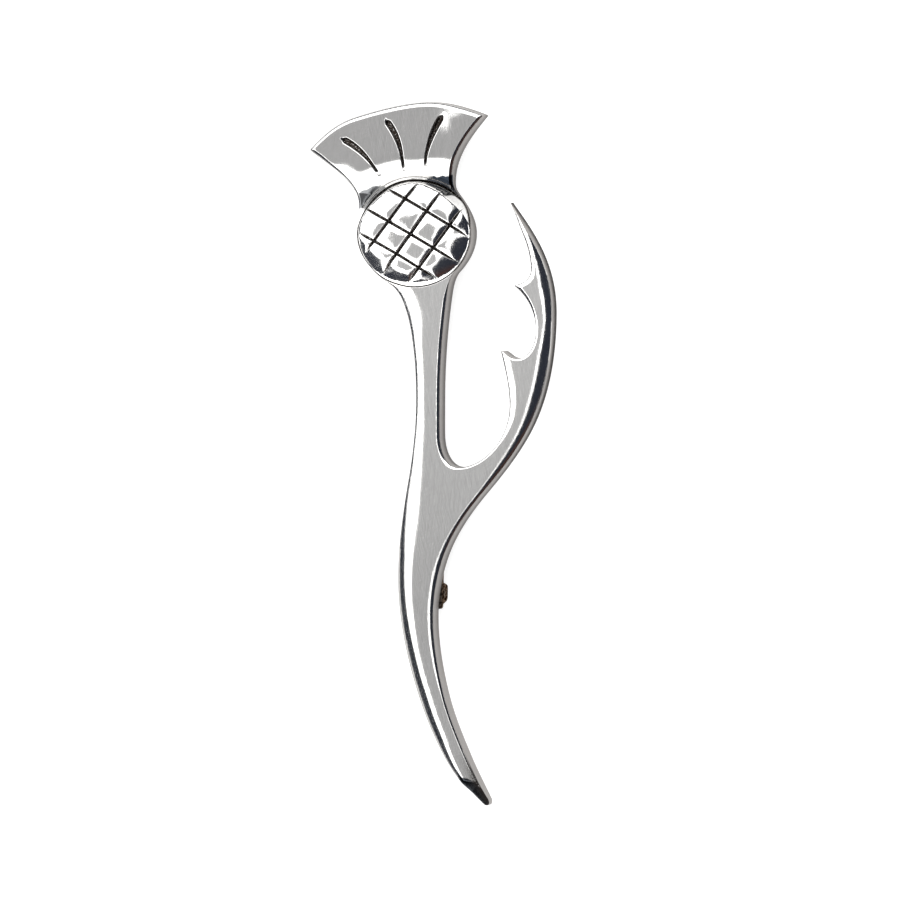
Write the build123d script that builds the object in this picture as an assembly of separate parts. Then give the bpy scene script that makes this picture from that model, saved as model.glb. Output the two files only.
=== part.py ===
from build123d import *
import math
import os
from collections import namedtuple

# Thistle kilt pin, millimetres. It lies on its back: X is across the pin, Y runs along it towards
# the flower tuft, Z points out of its face. The origin is under the middle of its box.

# Bulb: an oval dome, whose centre is where the outline is measured from. The dome rises that far over
# the plate, and the step is the upright foot that it has all round
bulb_width = 14.2
bulb_length = 12.9
bulb_rim = 0.2
dome_height = 1.45
dome_step = 0.1

# Flower tuft: a fan above the bulb
tuft_width = 22.4
tuft_height = 9.5

# Stem: from the bulb down to the point, with a slow bend. The sweep is how far the point stands to
# the right of the bulb's middle, and the lean is the neck's share of that
stem_length = 63.4
stem_width = 3.15
stem_sweep = 9.0
stem_lean = 0.186

# Leaf: branches off to the right at the fork, a share of the stem's length below the bulb
fork_at = 0.347
leaf_reach = 14.2
leaf_length = 32.3

# Thickness of the casting and how its edges are worked
plate_thickness = 2.65
edge_round = 0.4
bevel_width = 1.3
bevel_drop = 0.95
tip_wear = 0.12
ring_width = 0.3
ring_depth = 0.25

# Grooves cut in the dome and in the tuft
groove_depth = 0.35
hatch_width = 0.35
tuft_groove_width = 0.6

# Brooch fitting on the back: a strip with the pin's joint at one end and its catch at the other
seat_gap = 0.05
strip_width = 1.8
strip_thickness = 0.6
joint_width = 2.85
joint_length = 4.6
joint_tab = 1.9
ear_thickness = 0.55
ear_base = 2.8
ear_end = 1.8
ear_round = 0.4
rivet_diameter = 0.8
rivet_head = 0.12
barrel_diameter = 1.4
barrel_play = 0.1
pin_diameter = 0.9
pin_lift = 0.32
pin_point = 3.0
pin_tip = 0.2
pin_overhang = 1.2
pin_play = 0.05
catch_width = 3.0
catch_length = 2.2
catch_wall = 0.5
catch_lip = 0.35
catch_round = 0.4

Seat = namedtuple("Seat", "part across along")

# Where the fitting sits: the joint under the stem, the catch under the dome, as shares of their sizes
JOINT_SEAT = Seat("stem", 0.149, 0.591)
CATCH_SEAT = Seat("dome", 0.32, -0.04)

Node = namedtuple("Node", "name part across thick along arrive leave pull_in pull_out")

# The outline, clockwise from the tuft's left tip. across, thick and along are shares of the sizes of
# the part named; arrive and leave are headings in degrees; pulls are handle lengths, as shares of
# the straight distance to the node before or after.
OUTLINE = [
    Node("tuft left tip", "tuft", -0.602, 0, 0.385, 144, 46, 0.30, 0.36),
    Node("tuft brow", "tuft", -0.338, 0, 0.81, 17, 17, 0.38, 0.30),
    Node("tuft crown", "tuft", 0.055, 0, 1.0, 3, 3, 0.33, 0.33),
    Node("tuft right tip", "tuft", 0.394, 0, 0.832, -20, 229, 0.33, 0.33),
    Node("neck right", "tuft", 0.206, 0, -0.03, 270, 270, 0.36, 0.45),
    Node("bulb shoulder", "bulb", 0.73, 0, 0.68, 307, 307, 0.40, 0.30),
    Node("bulb right", "bulb", 1.0, 0, 0.0, 270, 270, 0.36, 0.36),
    Node("bulb lower right", "bulb", 0.70, 0, -0.72, 226, 232, 0.36, 0.30),
    Node("stem top right", "stem", 0.133, 0.92, 0.0276, 262, 262, 0.40, 0.33),
    Node("stem neck right", "stem", stem_lean, 0.50, 0.222, 270, 270, 0.33, 0.33),
    Node("fork side", "stem", stem_lean, 0.50, 0.285, 271, 271, 0.33, 0.47),
    Node("fork", "leaf", 0.175, 0, 0.0, 0, 0, 0.33, 0.33),
    Node("leaf foot", "leaf", 0.467, 0, 0.062, 45, 45, 0.33, 0.33),
    Node("leaf belly", "leaf", 0.622, 0, 0.235, 90, 90, 0.36, 0.33),
    Node("low thorn tip", "leaf", 0.543, 0, 0.442, 104, -10, 0.33, 0.33),
    Node("low thorn root", "leaf", 0.695, 0, 0.412, 0, 0, 0.50, 0.33),
    Node("notch", "leaf", 0.862, 0, 0.517, 90, 90, 0.45, 0.36),
    Node("high thorn tip", "leaf", 0.66, 0, 0.686, 146, 12, 0.33, 0.33),
    Node("high thorn root", "leaf", 0.814, 0, 0.752, 92, 92, 0.50, 0.33),
    Node("leaf tip", "leaf", 0.603, 0, 1.0, 118, -52, 0.33, 0.33),
    Node("leaf back", "leaf", 1.0, 0, 0.583, 270, 270, 0.40, 0.33),
    Node("leaf outer foot", "leaf", 0.83, 0, 0.185, 246, 246, 0.33, 0.33),
    Node("fork back", "leaf", 0.383, 0, -0.098, 229, 229, 0.33, 0.33),
    Node("heel", "leaf", 0.045, 0, -0.325, 248, 248, 0.33, 0.33),
    Node("heel low", "stem", 0.022, 0.70, 0.636, 270, 270, 0.33, 0.33),
    Node("tail right", "stem", 0.24, 0.537, 0.788, 285, 285, 0.33, 0.33),
    Node("tail low right", "stem", 0.58, 0.452, 0.903, 294, 294, 0.33, 0.33),
    Node("point right", "stem", 1.033, 0, 0.9866, 297, 275, 0.33, 0.40),
    Node("point left", "stem", 0.975, 0, 0.9985, 190, 137, 0.40, 0.33),
    Node("tail low left", "stem", 0.58, -0.50, 0.903, 121, 121, 0.33, 0.33),
    Node("tail left", "stem", 0.24, -0.58, 0.788, 109, 109, 0.33, 0.33),
    Node("belly left", "stem", 0.05, -0.88, 0.561, 90, 90, 0.33, 0.33),
    Node("waist left", "stem", 0.095, -0.57, 0.373, 79, 79, 0.33, 0.33),
    Node("stem neck left", "stem", stem_lean, -0.50, 0.222, 90, 90, 0.33, 0.33),
    Node("stem top left", "stem", 0.133, -0.92, 0.0276, 112, 112, 0.33, 0.40),
    Node("bulb lower left", "bulb", -0.55, 0, -0.835, 143, 143, 0.30, 0.33),
    Node("bulb left", "bulb", -1.0, 0, -0.03, 90, 90, 0.36, 0.33),
    Node("neck left", "tuft", -0.325, 0, -0.33, 92, 92, 0.33, 0.33),
]

# Nodes of the outline that come to a sharp point, whose last bit is worn away
SHARP_TIPS = ("tuft left tip", "tuft right tip", "low thorn tip", "high thorn tip", "leaf tip")

Cut = namedtuple("Cut", "curve at share beyond")

# The broad bevel down the stem's left edge: places along the outline's curves, the share of the bevel's
# width there, and how far before the place the section stands, in mm
BEVEL = [
    Cut("point left", 0.0, 1.0, 1.2),
    Cut("point left", 0.25, 1.0, 0),
    Cut("point left", 0.75, 1.0, 0),
    Cut("tail low left", 0.25, 1.0, 0),
    Cut("tail low left", 0.75, 1.0, 0),
    Cut("tail left", 0.25, 0.95, 0),
    Cut("tail left", 0.6, 0.85, 0),
    Cut("tail left", 0.95, 0.7, 0),
    Cut("belly left", 0.3, 0.4, 0),
    Cut("belly left", 0.6, 0.1, 0),
]

Groove = namedtuple("Groove", "name part x0 y0 x1 y1 bow")

# Grooves: both ends as shares of the half sizes of the dome, or of the tuft's width and height, and
# how far the middle bows out to the left of the way from the first end to the second, in mm
HATCH = [
    Groove("falling top", "dome", -0.48, 0.85, 0.97, -0.06, 0.25),
    Groove("falling middle", "dome", -0.89, 0.49, 0.77, -0.53, 0.25),
    Groove("falling low", "dome", -0.98, 0.01, 0.39, -0.84, 0.30),
    Groove("rising left", "dome", -0.82, -0.34, 0.07, 0.95, -0.12),
    Groove("rising middle", "dome", -0.53, -0.76, 0.51, 0.81, -0.17),
    Groove("rising right", "dome", -0.07, -0.91, 0.86, 0.47, -0.20),
]
TUFT_GROOVES = [
    Groove("left", "tuft", -0.406, 0.531, -0.202, 0.072, 0.48),
    Groove("middle", "tuft", -0.154, 0.773, -0.058, 0.153, 0.58),
    Groove("right", "tuft", 0.169, 0.835, 0.065, 0.206, -0.42),
]


def frames():
    """Each part of the outline: its origin, its reach across, its own width and its length."""
    fork_x = stem_lean * stem_sweep + stem_width / 2
    fork_y = -bulb_length / 2 - fork_at * stem_length
    return {
        "tuft": (0, bulb_length / 2, tuft_width, 0, tuft_height),
        "bulb": (0, 0, bulb_width / 2 + bulb_rim, 0, bulb_length / 2 + bulb_rim),
        "dome": (0, 0, bulb_width / 2, 0, bulb_length / 2),
        "stem": (0, -bulb_length / 2, stem_sweep, stem_width, -stem_length),
        "leaf": (fork_x, fork_y, leaf_reach, 0, leaf_length),
    }


def place(part, across, along, thick=0):
    x, y, reach, width, length = frames()[part]
    return (x + across * reach + thick * width, y + along * length)


def ahead(point, heading, distance):
    angle = math.radians(heading)
    return (point[0] + distance * math.cos(angle), point[1] + distance * math.sin(angle))


def outline_curves():
    """One cubic curve from each node of the outline to the next, keyed by the node's name."""
    curves = {}
    for here, after in zip(OUTLINE, OUTLINE[1:] + OUTLINE[:1]):
        start = place(here.part, here.across, here.along, here.thick)
        end = place(after.part, after.across, after.along, after.thick)
        chord = math.dist(start, end)
        first = ahead(start, here.leave, here.pull_out * chord)
        second = ahead(end, after.arrive, -after.pull_in * chord)
        curves[here.name] = Bezier(start, first, second, end)
    return curves


def groove_face(groove, width):
    """A long pointed leaf shape along a bowed line."""
    start = place(groove.part, groove.x0, groove.y0)
    end = place(groove.part, groove.x1, groove.y1)
    length = math.dist(start, end)
    middle = ((start[0] + end[0]) / 2, (start[1] + end[1]) / 2)
    left = ((start[1] - end[1]) / length, (end[0] - start[0]) / length)
    sides = []
    for out in (groove.bow + width / 2, groove.bow - width / 2):
        sides.append((middle[0] + out * left[0], middle[1] + out * left[1]))
    return make_face([ThreePointArc(start, sides[0], end), ThreePointArc(end, sides[1], start)])


def worn_tip(node):
    """What wear takes off a sharp point: a block across its very end."""
    x, y = place(node.part, node.across, node.along, node.thick)
    outward = (node.arrive + node.leave + 180) / 2
    block = Box(2 * tip_wear, 2 * edge_round, plate_thickness, align=(Align.CENTER, Align.CENTER, Align.MIN))
    return Pos(x, y, 0) * Rot(0, 0, outward) * block


def half_dome(shrink):
    """The oval cap over the bulb, standing on the floor of the ring groove, or one that much smaller.
    The ball it is cut from has its poles at the sides, so that none lies in the cap."""
    foot = plate_thickness - ring_depth
    half = max(bulb_width, bulb_length) / 2
    rise = dome_height + ring_depth - dome_step
    radius = (half**2 + rise**2) / (2 * rise)
    ball = Pos(0, 0, plate_thickness + dome_height - radius) * Rot(90, 0, 0) * Sphere(radius - shrink)
    prism = Pos(0, 0, foot) * extrude(Ellipse(bulb_width / 2, bulb_length / 2), 2 * dome_height)
    return ball & prism


def hatched_dome():
    """The dome with its crossing grooves, all of one depth under its surface."""
    net = Sketch() + [groove_face(groove, hatch_width) for groove in HATCH]
    tall = dome_height + 2 * ring_depth
    trenches = Pos(0, 0, plate_thickness - ring_depth) * extrude(net, tall)
    return half_dome(0) - (trenches - half_dome(groove_depth))


def bevel_wedge(curves):
    """What the broad bevel takes off the stem's left edge, from the waist down to the point."""
    sections = []
    for cut in BEVEL:
        curve = curves[cut.curve]
        way = curve % cut.at
        inward = Vector(way.Y, -way.X, 0)
        edge = curve @ cut.at - way * cut.beyond
        width = bevel_width * cut.share
        over = bevel_width / 2
        fall = bevel_drop / width
        inner = edge + inward * width + Vector(0, 0, plate_thickness)
        outer = edge - inward * over + Vector(0, 0, plate_thickness)
        up = Vector(0, 0, over)
        down = Vector(0, 0, fall * (width + over))
        sections.append(make_face(Polyline(inner, inner + up, outer + up, outer - down, close=True)))
    return loft(sections)


def thistle_casting():
    """Tuft, bulb, stem, leaf and point, with its flat back on the ground plane."""
    curves = outline_curves()
    plate = extrude(make_face(list(curves.values())), plate_thickness)
    plate = fillet(plate.edges().group_by(Axis.Z)[-1], edge_round)
    plate -= bevel_wedge(curves)
    for node in OUTLINE:
        if node.name in SHARP_TIPS:
            plate -= worn_tip(node)
    ring = Ellipse(bulb_width / 2 + ring_width, bulb_length / 2 + ring_width)
    plate -= Pos(0, 0, plate_thickness - ring_depth) * extrude(ring, plate_thickness)
    for groove in TUFT_GROOVES:
        trench = extrude(groove_face(groove, tuft_groove_width), plate_thickness)
        plate -= Pos(0, 0, plate_thickness - groove_depth) * trench
    return plate + hatched_dome()


def fitting_line():
    """The middle of the joint and of the catch, seen from the front."""
    return place(*JOINT_SEAT), place(*CATCH_SEAT)


def pin_height():
    """Height of the pin's axis over the surface that the brooch lies on."""
    return catch_wall + pin_play + pin_diameter / 2


def fitting_depth():
    return pin_height() + pin_diameter / 2 + pin_lift + strip_thickness


def crosswise(radius, length):
    """A round bar across the fitting, at the height of the pin's axis."""
    return Pos(0, 0, pin_height()) * Rot(0, 90, 0) * Cylinder(radius, length)


def fitting_strip(span):
    underside = fitting_depth() - strip_thickness
    strip = Box(strip_width, span + catch_length, strip_thickness, align=(Align.CENTER, Align.MIN, Align.MIN))
    plate = Box(joint_width, joint_length, strip_thickness, align=(Align.CENTER, Align.MIN, Align.MIN))
    return Pos(0, 0, underside) * strip + Pos(0, -joint_tab, underside) * plate


def fitting_joint():
    """Two ears with the rivet through them and the barrel of the pin between them."""
    top = fitting_depth() - strip_thickness / 2
    low = -ear_base / 2
    side = Polyline((low, top), (-ear_end / 2, 0), (ear_end / 2, 0), (ear_base / 2, top), close=True)
    side = make_face(side)
    side = fillet(side.vertices().group_by(Axis.Y)[0], ear_round)
    ear = extrude(Plane.YZ * side, ear_thickness)
    ears = Pos(joint_width / 2 - ear_thickness, 0, 0) * ear + Pos(-joint_width / 2, 0, 0) * ear
    rivet = crosswise(rivet_diameter / 2, joint_width + 2 * rivet_head)
    barrel = crosswise(barrel_diameter / 2, joint_width - 2 * ear_thickness - 2 * barrel_play)
    return ears + rivet + barrel


def fitting_pin(span):
    shank = span + pin_overhang - pin_point
    lengthwise = Pos(0, 0, pin_height()) * Rot(-90, 0, 0)
    bar = lengthwise * Cylinder(pin_diameter / 2, shank, align=(Align.CENTER, Align.CENTER, Align.MIN))
    point = Cone(pin_diameter / 2, pin_tip / 2, pin_point, align=(Align.CENTER, Align.CENTER, Align.MIN))
    return bar + lengthwise * Pos(0, 0, shank) * point


def fitting_catch(span):
    """A hook bent round from the strip: closed on one side, with a mouth for the pin on the other."""
    height = fitting_depth()
    headroom = height - strip_thickness - catch_wall
    outer = Pos(0, height / 2) * Rectangle(catch_width, height)
    outer = fillet(outer.vertices().group_by(Axis.Y)[0], catch_round)
    inside = catch_width - 2 * catch_wall
    room = Pos(0, catch_wall) * Rectangle(inside, headroom, align=(Align.CENTER, Align.MIN))
    mouth = Rectangle(catch_width, headroom - catch_lip, align=(Align.MAX, Align.MIN))
    mouth = Pos(0, catch_wall + catch_lip) * mouth
    hook = extrude(Plane.XZ * (outer - room - mouth), catch_length / 2, both=True)
    return Pos(0, span, 0) * hook


def pin_fitting():
    joint, catch = fitting_line()
    span = math.dist(joint, catch)
    lean = math.degrees(math.atan2(joint[0] - catch[0], catch[1] - joint[1]))
    fitting = fitting_strip(span) + fitting_joint() + fitting_pin(span) + fitting_catch(span)
    return Pos(joint[0], joint[1], 0) * Rot(0, 0, lean) * fitting


def build():
    os.makedirs("parts", exist_ok=True)
    casting = Pos(0, 0, fitting_depth() + seat_gap) * thistle_casting()
    fitting = pin_fitting()
    whole = Compound([casting, fitting]).bounding_box()
    home = Pos(-whole.center().X, -whole.center().Y, -whole.min.Z)
    export_step(home * casting, "parts/thistle_casting.step")
    export_step(home * fitting, "parts/pin_fitting.step")


build()
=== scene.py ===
import math
from collections import namedtuple

import bmesh
import bpy
import numpy as np
from mathutils import Matrix, Vector
from mathutils.geometry import delaunay_2d_cdt


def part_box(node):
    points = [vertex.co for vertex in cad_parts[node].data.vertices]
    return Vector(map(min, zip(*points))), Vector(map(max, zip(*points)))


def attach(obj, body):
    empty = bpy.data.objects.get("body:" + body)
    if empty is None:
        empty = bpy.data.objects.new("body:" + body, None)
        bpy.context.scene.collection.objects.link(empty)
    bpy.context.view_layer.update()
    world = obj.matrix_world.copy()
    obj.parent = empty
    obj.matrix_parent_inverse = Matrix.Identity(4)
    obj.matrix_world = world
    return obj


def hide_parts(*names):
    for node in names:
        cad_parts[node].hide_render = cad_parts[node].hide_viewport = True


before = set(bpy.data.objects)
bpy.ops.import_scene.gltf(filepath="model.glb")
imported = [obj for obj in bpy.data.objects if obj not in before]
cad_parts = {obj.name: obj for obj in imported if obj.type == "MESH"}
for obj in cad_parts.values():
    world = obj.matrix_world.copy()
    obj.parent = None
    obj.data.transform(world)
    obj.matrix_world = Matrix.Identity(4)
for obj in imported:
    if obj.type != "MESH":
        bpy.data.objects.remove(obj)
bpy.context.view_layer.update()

# Thistle kilt pin: a polished pewter casting with a steel brooch fitting on its flat back, lying on a
# pale studio floor. The casting is drawn in plan millimetres from the middle of its bulb, with heights
# from its back, and then set where the frame has it. Lengths are in mm and angles in degrees unless a
# comment says otherwise.

MM = 0.001
casting_low, casting_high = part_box("thistle_casting")

# Sizes of the casting, the same as those of its solid
bulb_width = 14.2
bulb_length = 12.9
bulb_rim = 0.2
dome_height = 1.45
tuft_width = 22.4
tuft_height = 9.5
stem_length = 63.4
stem_width = 3.15
stem_sweep = 9.0
stem_lean = 0.186
fork_at = 0.347
leaf_reach = 14.2
leaf_length = 32.3
plate_thickness = 2.65

# Sizes of the fitting, the same as those of its solid
strip_width = 1.8
strip_thickness = 0.6
joint_width = 2.85
joint_length = 4.6
joint_tab = 1.9
ear_thickness = 0.55
ear_base = 2.8
ear_end = 1.8
ear_round = 0.4
rivet_diameter = 0.8
rivet_head = 0.12
barrel_diameter = 1.4
barrel_play = 0.1
pin_diameter = 0.9
pin_lift = 0.32
pin_point = 3.0
pin_tip = 0.2
pin_overhang = 1.2
pin_play = 0.05
catch_width = 3.0
catch_length = 2.2
catch_wall = 0.5
catch_lip = 0.35
catch_round = 0.4

# Finer forms of the fitting, which its solid leaves plain: rims, roundings, folds and the pin's taper. Points
# closer together than the last of them are merged
plate_rim = 0.09
ear_rim = 0.1
ear_fold = 0.3
strip_corner = 0.3
strip_shoulder = 0.25
strip_waist = 0.5
strip_end = 0.35
rivet_brim = 0.18
rivet_sink = 0.05
barrel_end = 0.3
barrel_slit = 0.14
catch_corner = 0.35
pin_taper = 1.4
round_sides = 40
merge_below = 0.002

Seat = namedtuple("Seat", "part across along")
JOINT_SEAT = Seat("stem", 0.149, 0.591)
CATCH_SEAT = Seat("dome", 0.32, -0.04)

Node = namedtuple("Node", "name part across thick along arrive leave pull_in pull_out")

# The outline, clockwise from the tuft's left tip, the same as the solid's. across, thick and along are
# shares of the sizes of the part named; arrive and leave are headings in degrees; pulls are handle
# lengths, as shares of the straight distance to the node before or after
OUTLINE = [
    Node("tuft left tip", "tuft", -0.602, 0, 0.385, 144, 46, 0.30, 0.36),
    Node("tuft brow", "tuft", -0.338, 0, 0.81, 17, 17, 0.38, 0.30),
    Node("tuft crown", "tuft", 0.055, 0, 1.0, 3, 3, 0.33, 0.33),
    Node("tuft right tip", "tuft", 0.394, 0, 0.832, -20, 229, 0.33, 0.33),
    Node("neck right", "tuft", 0.206, 0, -0.03, 270, 270, 0.36, 0.45),
    Node("bulb shoulder", "bulb", 0.73, 0, 0.68, 307, 307, 0.40, 0.30),
    Node("bulb right", "bulb", 1.0, 0, 0.0, 270, 270, 0.36, 0.36),
    Node("bulb lower right", "bulb", 0.70, 0, -0.72, 226, 232, 0.36, 0.30),
    Node("stem top right", "stem", 0.133, 0.92, 0.0276, 262, 262, 0.40, 0.33),
    Node("stem neck right", "stem", stem_lean, 0.50, 0.222, 270, 270, 0.33, 0.33),
    Node("fork side", "stem", stem_lean, 0.50, 0.285, 271, 271, 0.33, 0.47),
    Node("fork", "leaf", 0.175, 0, 0.0, 0, 0, 0.33, 0.33),
    Node("leaf foot", "leaf", 0.467, 0, 0.062, 45, 45, 0.33, 0.33),
    Node("leaf belly", "leaf", 0.622, 0, 0.235, 90, 90, 0.36, 0.33),
    Node("low thorn tip", "leaf", 0.543, 0, 0.442, 104, -10, 0.33, 0.33),
    Node("low thorn root", "leaf", 0.695, 0, 0.412, 0, 0, 0.50, 0.33),
    Node("notch", "leaf", 0.862, 0, 0.517, 90, 90, 0.45, 0.36),
    Node("high thorn tip", "leaf", 0.66, 0, 0.686, 146, 12, 0.33, 0.33),
    Node("high thorn root", "leaf", 0.814, 0, 0.752, 92, 92, 0.50, 0.33),
    Node("leaf tip", "leaf", 0.603, 0, 1.0, 118, -52, 0.33, 0.33),
    Node("leaf back", "leaf", 1.0, 0, 0.583, 270, 270, 0.40, 0.33),
    Node("leaf outer foot", "leaf", 0.83, 0, 0.185, 246, 246, 0.33, 0.33),
    Node("fork back", "leaf", 0.383, 0, -0.098, 229, 229, 0.33, 0.33),
    Node("heel", "leaf", 0.045, 0, -0.325, 248, 248, 0.33, 0.33),
    Node("heel low", "stem", 0.022, 0.70, 0.636, 270, 270, 0.33, 0.33),
    Node("tail right", "stem", 0.24, 0.537, 0.788, 285, 285, 0.33, 0.33),
    Node("tail low right", "stem", 0.58, 0.452, 0.903, 294, 294, 0.33, 0.33),
    Node("point right", "stem", 1.033, 0, 0.9866, 297, 275, 0.33, 0.40),
    Node("point left", "stem", 0.975, 0, 0.9985, 190, 137, 0.40, 0.33),
    Node("tail low left", "stem", 0.58, -0.50, 0.903, 121, 121, 0.33, 0.33),
    Node("tail left", "stem", 0.24, -0.58, 0.788, 109, 109, 0.33, 0.33),
    Node("belly left", "stem", 0.05, -0.88, 0.561, 90, 90, 0.33, 0.33),
    Node("waist left", "stem", 0.095, -0.57, 0.373, 79, 79, 0.33, 0.33),
    Node("stem neck left", "stem", stem_lean, -0.50, 0.222, 90, 90, 0.33, 0.33),
    Node("stem top left", "stem", 0.133, -0.92, 0.0276, 112, 112, 0.33, 0.40),
    Node("bulb lower left", "bulb", -0.55, 0, -0.835, 143, 143, 0.30, 0.33),
    Node("bulb left", "bulb", -1.0, 0, -0.03, 90, 90, 0.36, 0.33),
    Node("neck left", "tuft", -0.325, 0, -0.33, 92, 92, 0.33, 0.33),
]
NAMES = [node.name for node in OUTLINE]

# Corners of the outline, where one worked edge ends and the next begins, and how far back along both
# edges wear has rounded each, in mm
CORNERS = {
    "tuft left tip": 0.32,
    "tuft right tip": 0.3,
    "low thorn tip": 0.29,
    "high thorn tip": 0.27,
    "leaf tip": 0.26,
    "point right": 0.3,
    "point left": 0.4,
}

Edge = namedtuple("Edge", "curve at round brink facet flank crown")

# How the edges are worked, from the face down: a crown that eases from flat to the flank angle, a facet
# that goes from there to the brink angle, and a rounding that ends upright. Widths in mm, angles in
# degrees. Each row holds at a share of the way along one of the outline's curves
EDGES = [
    Edge("tuft left tip", 0.0, 0.30, 50, 0.10, 36, 0.30),
    Edge("tuft brow", 0.5, 0.30, 50, 0.10, 36, 0.42),
    Edge("tuft crown", 1.0, 0.30, 50, 0.10, 36, 0.38),

    Edge("tuft right tip", 0.0, 0.20, 50, 0.34, 22, 0.10),
    Edge("neck right", 0.3, 0.20, 50, 0.32, 22, 0.10),
    Edge("neck right", 1.0, 0.12, 45, 0.00, 20, 0.03),
    Edge("bulb lower right", 0.2, 0.12, 45, 0.00, 20, 0.03),
    Edge("bulb lower right", 1.0, 0.18, 50, 0.28, 22, 0.16),
    Edge("fork side", 0.7, 0.18, 50, 0.28, 22, 0.16),
    Edge("fork", 0.0, 0.25, 24, 0.00, 12, 0.15),
    Edge("leaf foot", 0.2, 0.25, 24, 0.00, 12, 0.15),
    Edge("leaf foot", 0.8, 0.30, 30, 0.06, 26, 0.70),
    Edge("leaf belly", 0.3, 0.28, 32, 0.08, 26, 0.95),
    Edge("leaf belly", 1.0, 0.22, 34, 0.12, 26, 0.80),

    Edge("low thorn tip", 0.0, 0.20, 40, 0.06, 20, 0.12),
    Edge("notch", 0.15, 0.20, 40, 0.06, 27, 0.25),
    Edge("notch", 0.4, 0.10, 38, 0.28, 29, 0.08),
    Edge("notch", 1.0, 0.08, 39, 0.46, 31, 0.06),

    Edge("high thorn tip", 0.0, 0.25, 40, 0.05, 25, 0.30),
    Edge("high thorn root", 0.3, 0.20, 36, 0.10, 28, 0.80),
    Edge("high thorn root", 1.0, 0.10, 38, 0.16, 30, 0.35),

    Edge("leaf tip", 0.0, 0.12, 50, 0.06, 24, 0.05),
    Edge("leaf tip", 0.34, 0.14, 50, 0.12, 24, 0.10),
    Edge("leaf tip", 0.56, 0.16, 50, 0.60, 22, 0.70),
    Edge("leaf tip", 0.80, 0.18, 50, 0.88, 22, 0.80),
    Edge("leaf back", 0.07, 0.18, 50, 0.60, 20, 0.80),
    Edge("leaf back", 0.40, 0.18, 50, 0.94, 20, 1.00),
    Edge("leaf back", 0.80, 0.18, 49, 0.86, 20, 1.10),
    Edge("leaf outer foot", 0.2, 0.18, 49, 0.60, 20, 1.00),
    Edge("leaf outer foot", 0.6, 0.18, 48, 0.50, 20, 0.80),
    Edge("fork back", 0.0, 0.18, 48, 0.34, 22, 0.34),
    Edge("fork back", 0.6, 0.18, 48, 0.32, 22, 0.36),
    Edge("heel", 0.3, 0.18, 49, 0.30, 20, 0.95),
    Edge("heel low", 0.3, 0.16, 50, 0.26, 20, 0.72),
    Edge("tail right", 0.0, 0.14, 52, 0.22, 26, 0.10),
    Edge("tail low right", 0.1, 0.12, 52, 0.20, 28, 0.05),
    Edge("tail low right", 1.0, 0.12, 52, 0.18, 26, 0.05),

    Edge("point right", 0.0, 0.16, 60, 0.05, 40, 0.05),
    Edge("point right", 1.0, 0.16, 45, 0.30, 36, 0.35),

    Edge("point left", 0.0, 0.10, 36, 2.10, 31, 0.05),
    Edge("point left", 0.30, 0.10, 36, 1.80, 31, 0.05),
    Edge("point left", 0.50, 0.10, 36, 0.50, 29, 0.08),
    Edge("point left", 0.75, 0.10, 36, 0.52, 28, 0.48),
    Edge("tail low left", 0.3, 0.10, 37, 1.00, 28, 0.66),
    Edge("tail low left", 0.95, 0.10, 37, 1.14, 28, 0.72),
    Edge("tail left", 0.35, 0.10, 37, 1.12, 28, 0.80),
    Edge("tail left", 0.66, 0.12, 36, 1.00, 28, 1.08),
    Edge("belly left", 0.2, 0.14, 35, 0.84, 28, 1.36),
    Edge("belly left", 0.6, 0.18, 34, 0.42, 28, 2.00),
    Edge("belly left", 0.8, 0.20, 34, 0.22, 28, 2.10),
    Edge("waist left", 0.4, 0.22, 34, 0.10, 28, 1.40),
    Edge("stem neck left", 0.0, 0.20, 37, 0.14, 30, 1.05),
    Edge("stem neck left", 0.55, 0.18, 37, 0.18, 30, 1.15),
    Edge("stem neck left", 0.85, 0.18, 37, 0.22, 29, 2.00),
    Edge("stem top left", 0.5, 0.16, 37, 0.24, 28, 1.60),
    Edge("stem top left", 0.95, 0.12, 45, 0.00, 20, 0.03),
    Edge("bulb left", 0.5, 0.12, 45, 0.00, 20, 0.03),
    Edge("neck left", 0.15, 0.10, 30, 0.22, 23, 0.12),
    Edge("neck left", 0.60, 0.08, 32, 0.30, 25, 0.06),
    Edge("neck left", 0.80, 0.08, 40, 0.46, 32, 0.05),
    Edge("neck left", 1.0, 0.08, 41, 0.44, 32, 0.05),
]

Rim = namedtuple("Rim", "angle round brink facet flank crown flare bow power")

# The dome's edge in the same way, by the angle round the bulb from its right-hand side, in degrees. The
# flare is a narrow, less steep skirt outside the edge. The bow is how far the dome falls on the way
# there, and the power how late it does
DOME_RIM = [
    Rim(-180, 0.06, 40, 0.08, 12, 1.60, 0.02, 0.85, 3.0),
    Rim(-165, 0.05, 22, 1.00, 21, 0.40, 0.05, 0.70, 3.0),
    Rim(-135, 0.05, 21, 1.90, 24, 0.35, 0.15, 0.53, 3.0),
    Rim(-95, 0.05, 31, 0.95, 26, 0.35, 0.50, 0.80, 2.6),
    Rim(-45, 0.06, 17, 1.10, 12, 0.80, 0.35, 1.15, 2.2),
    Rim(0, 0.06, 6, 0.80, 4, 1.00, 0.20, 1.50, 2.0),
    Rim(50, 0.06, 35, 0.42, 29, 0.50, 0.10, 1.05, 2.0),
    Rim(80, 0.06, 14, 0.40, 12, 2.40, 0.05, 1.30, 2.4),
    Rim(135, 0.06, 6, 0.10, 3, 0.50, 0.02, 1.15, 3.0),
    Rim(180, 0.06, 40, 0.08, 12, 1.60, 0.02, 0.85, 3.0),
]
flare_slope = 16

# The line cut round the dome: how far out from the dome's foot, how deep under the face beside it, how
# steep its sides are, in degrees, and how far from it its dark begins to fade and ends
ring_out = 0.05
ring_cut = 0.22
ring_sides = 74
ring_soft = 0.03
RING_DARK = (0.05, 0.13)

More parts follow.
